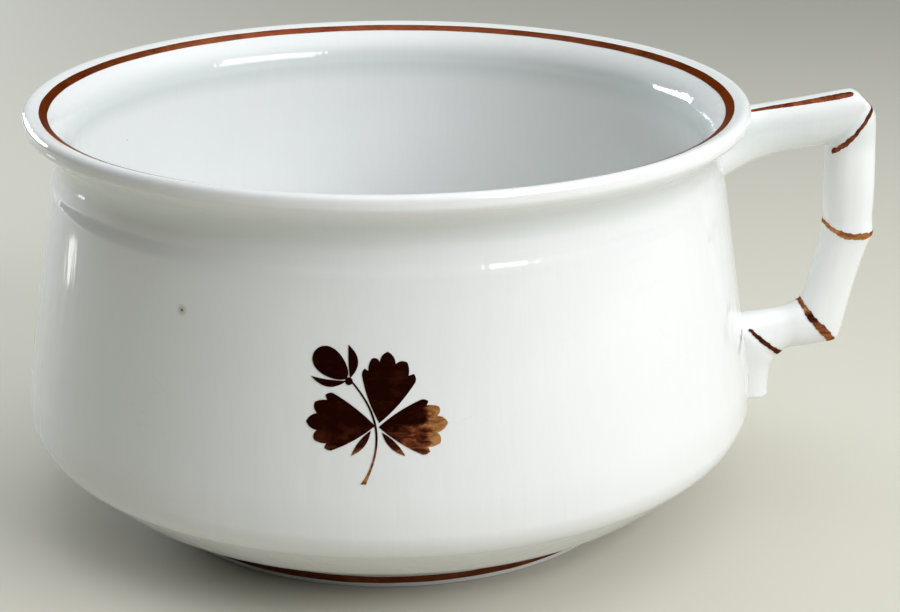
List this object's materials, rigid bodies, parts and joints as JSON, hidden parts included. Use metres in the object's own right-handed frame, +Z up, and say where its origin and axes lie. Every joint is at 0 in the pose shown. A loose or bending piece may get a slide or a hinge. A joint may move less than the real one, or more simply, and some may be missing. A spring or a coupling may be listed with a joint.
{
  "type": "chamber pot",
  "caption": "Low round white-glazed ceramic pot with an everted lip, foot ring and mitred bamboo side handle, decorated with copper-lustre lines and a leaf sprig.",
  "frame": {"origin": "centre of the foot ring, on the plane that the pot stands on", "axes": "+Z up along the axis of the bowl, +X towards the handle, -Y towards the decorated front"},
  "size_m": [0.2804, 0.2398, 0.1355],
  "materials": {
    "white_glaze": "gloss white glaze over ironstone",
    "copper_lustre": "copper lustre fired over the glaze"
  },
  "bodies": {
    "root": {"bowl": "white_glaze", "foot_ring": "white_glaze", "handle": "white_glaze", "rim_line": "copper_lustre", "foot_line": "copper_lustre", "handle_top_stripe": "copper_lustre", "handle_corner_band": "copper_lustre", "handle_middle_band": "copper_lustre", "handle_lower_band": "copper_lustre", "handle_root_band": "copper_lustre", "front_sprig": "copper_lustre", "back_sprig": "copper_lustre"}
  },
  "joints": []
}
